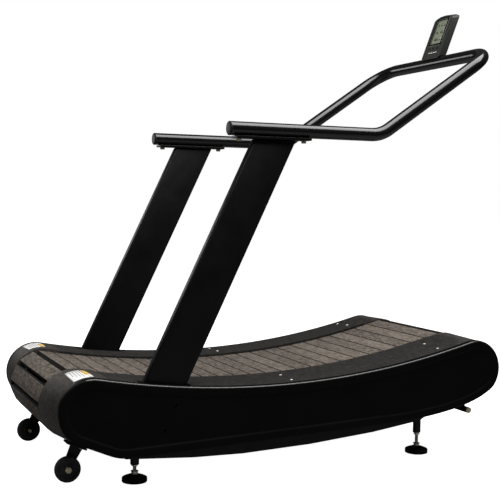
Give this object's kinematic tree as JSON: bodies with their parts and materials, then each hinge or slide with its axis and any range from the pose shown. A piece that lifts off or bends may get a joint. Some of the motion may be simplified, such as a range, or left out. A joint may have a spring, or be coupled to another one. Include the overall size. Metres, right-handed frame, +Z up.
{
  "type": "curved manual treadmill",
  "caption": "Motorless treadmill with a slatted belt on a curved roller deck, leaning posts, a U-shaped handlebar, a display console, transport wheels and levelling feet.",
  "frame": {"origin": "middle of the footprint at floor level", "axes": "+X forward, the way the runner faces, +Y to the runner's left, +Z up"},
  "size_m": [1.6563, 0.82, 1.6199],
  "materials": {
    "frame_paint": "satin powder coat",
    "panel_plastic": "satin moulding",
    "slat_rubber": "matte, grained along the slat",
    "cover_plastic": "matte, grained",
    "black_plastic": "matte",
    "console_plastic": "satin",
    "display": "glossy window over a grey-green display",
    "button_rubber": "matte",
    "handlebar_gloss": "gloss enamel",
    "brass_plate": "passivated yellow plating",
    "wheel_tyre": "matte",
    "pad_rubber": "matte",
    "zinc_steel": "zinc plated",
    "bare_steel": "plain steel",
    "drum_coat": "matte rubber lagging"
  },
  "bodies": {
    "frame": {"console_back": "console_plastic", "console_bracket": "frame_paint", "console_front": "console_plastic", "console_screen": "display", "cross_member_front": "frame_paint", "cross_member_middle": "frame_paint", "cross_member_rear": "frame_paint", "foot_rail_left": "black_plastic", "foot_rail_right": "black_plastic", "frame_side_left": "frame_paint", "frame_side_right": "frame_paint", "front_axle": "bare_steel", "front_end_cover_left": "cover_plastic", "front_end_cover_right": "cover_plastic", "handlebar": "handlebar_gloss", "handlebar_cap_left": "black_plastic", "handlebar_cap_right": "black_plastic", "lift_handle": "frame_paint", "lift_handle_cap_left": "brass_plate", "lift_handle_cap_right": "brass_plate", "plate_bolt_front_left": "zinc_steel", "plate_bolt_front_right": "zinc_steel", "plate_bolt_rear_left": "zinc_steel", "plate_bolt_rear_right": "zinc_steel", "post_bolt_lower_left": "zinc_steel", "post_bolt_lower_right": "zinc_steel", "post_bolt_upper_left": "zinc_steel", "post_bolt_upper_right": "zinc_steel", "post_left": "frame_paint", "post_plate_left": "frame_paint", "post_plate_right": "frame_paint", "post_right": "frame_paint", "rear_axle": "bare_steel", "rear_end_cover_left": "cover_plastic", "rear_end_cover_right": "cover_plastic", "roller_track_left": "bare_steel", "roller_track_right": "bare_steel", "side_panel_left": "panel_plastic", "side_panel_right": "panel_plastic", "slat_belt": "slat_rubber", "wheel_bolt_left": "brass_plate", "wheel_bolt_right": "brass_plate", "wheel_bracket_left": "frame_paint", "wheel_bracket_right": "frame_paint"},
    "wheel_body_left": {"wheel_left": "wheel_tyre"},
    "foot_front_left": {"foot_stud_front_left": "zinc_steel", "foot_pad_front_left": "pad_rubber"},
    "foot_rear_left": {"foot_stud_rear_left": "zinc_steel", "foot_pad_rear_left": "pad_rubber"},
    "wheel_body_right": {"wheel_right": "wheel_tyre"},
    "foot_front_right": {"foot_stud_front_right": "zinc_steel", "foot_pad_front_right": "pad_rubber"},
    "foot_rear_right": {"foot_stud_rear_right": "zinc_steel", "foot_pad_rear_right": "pad_rubber"},
    "front_drum_body": {"front_drum": "drum_coat"},
    "rear_drum_body": {"rear_drum": "drum_coat"},
    "button_1": {"console_button_1": "button_rubber"},
    "button_2": {"console_button_2": "button_rubber"},
    "button_3": {"console_button_3": "button_rubber"},
    "battery_door": {"battery_cover": "console_plastic"}
  },
  "joints": [
    {"name": "wheel_left_spin", "type": "hinge", "parent": "frame", "child": "wheel_body_left", "pos_m": [-0.7488, 0.286, 0.0535], "axis": [0, 1, 0], "continuous": true},
    {"name": "wheel_right_spin", "type": "hinge", "parent": "frame", "child": "wheel_body_right", "pos_m": [-0.7488, -0.286, 0.0535], "axis": [0, 1, 0], "continuous": true},
    {"name": "front_drum_spin", "type": "hinge", "parent": "frame", "child": "front_drum_body", "pos_m": [0.6742, 0, 0.30622], "axis": [0, 1, 0], "continuous": true},
    {"name": "rear_drum_spin", "type": "hinge", "parent": "frame", "child": "rear_drum_body", "pos_m": [-0.7228, 0, 0.24352], "axis": [0, 1, 0], "continuous": true},
    {"name": "foot_front_left_height", "type": "slide", "parent": "frame", "child": "foot_front_left", "axis": [0, 0, 1], "range_m": [-0.015, 0.015]},
    {"name": "foot_front_right_height", "type": "slide", "parent": "frame", "child": "foot_front_right", "axis": [0, 0, 1], "range_m": [-0.015, 0.015]},
    {"name": "foot_rear_left_height", "type": "slide", "parent": "frame", "child": "foot_rear_left", "axis": [0, 0, 1], "range_m": [-0.015, 0.015]},
    {"name": "foot_rear_right_height", "type": "slide", "parent": "frame", "child": "foot_rear_right", "axis": [0, 0, 1], "range_m": [-0.015, 0.015]},
    {"name": "button_1_press", "type": "slide", "parent": "frame", "child": "button_1", "axis": [0.9336, 0, -0.3584], "range_m": [0, 0.0012], "stiffness_N_per_m": 400, "springref_m": -0.001},
    {"name": "button_2_press", "type": "slide", "parent": "frame", "child": "button_2", "axis": [0.9336, 0, -0.3584], "range_m": [0, 0.0012], "stiffness_N_per_m": 400, "springref_m": -0.001},
    {"name": "button_3_press", "type": "slide", "parent": "frame", "child": "button_3", "axis": [0.9336, 0, -0.3584], "range_m": [0, 0.0012], "stiffness_N_per_m": 400, "springref_m": -0.001},
    {"name": "battery_cover_off", "type": "slide", "parent": "frame", "child": "battery_door", "axis": [0.9336, 0, -0.3584], "range_m": [0, 0.02]}
  ],
  "couplings": [
    {"joint": "rear_drum_spin", "follows": "front_drum_spin", "ratio": 1}
  ]
}
